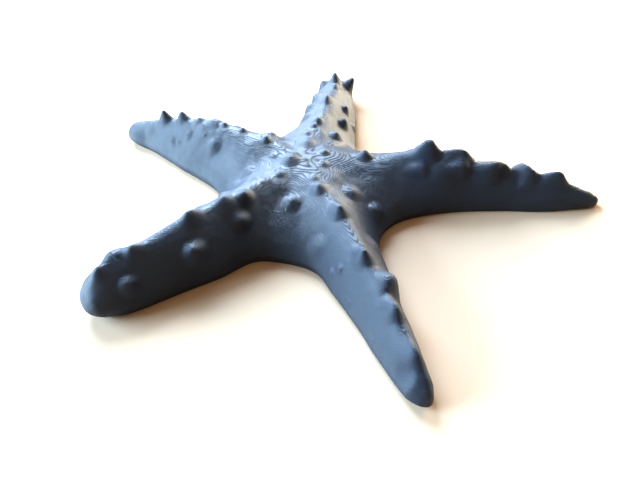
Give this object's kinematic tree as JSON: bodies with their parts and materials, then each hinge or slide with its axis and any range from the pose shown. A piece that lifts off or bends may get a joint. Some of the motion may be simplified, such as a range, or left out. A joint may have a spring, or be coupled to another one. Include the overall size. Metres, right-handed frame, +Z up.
{
  "type": "printed starfish ornament",
  "caption": "Knobbly starfish ornament printed in one piece of dark slate plastic, with tapering crested arms and a flat underside that rests on a table or shelf.",
  "frame": {"origin": "on the flat underside, below the middle of the disc", "axes": "+Z up out of the underside; +X close to the longest arm, which points 10 degrees to its right; the underside lies on z = 0"},
  "size_m": [0.1446, 0.1391, 0.0182],
  "materials": {
    "printed_plastic": "satin slate-blue plastic with fine horizontal layer lines"
  },
  "bodies": {
    "root": {"starfish": "printed_plastic"}
  },
  "joints": []
}
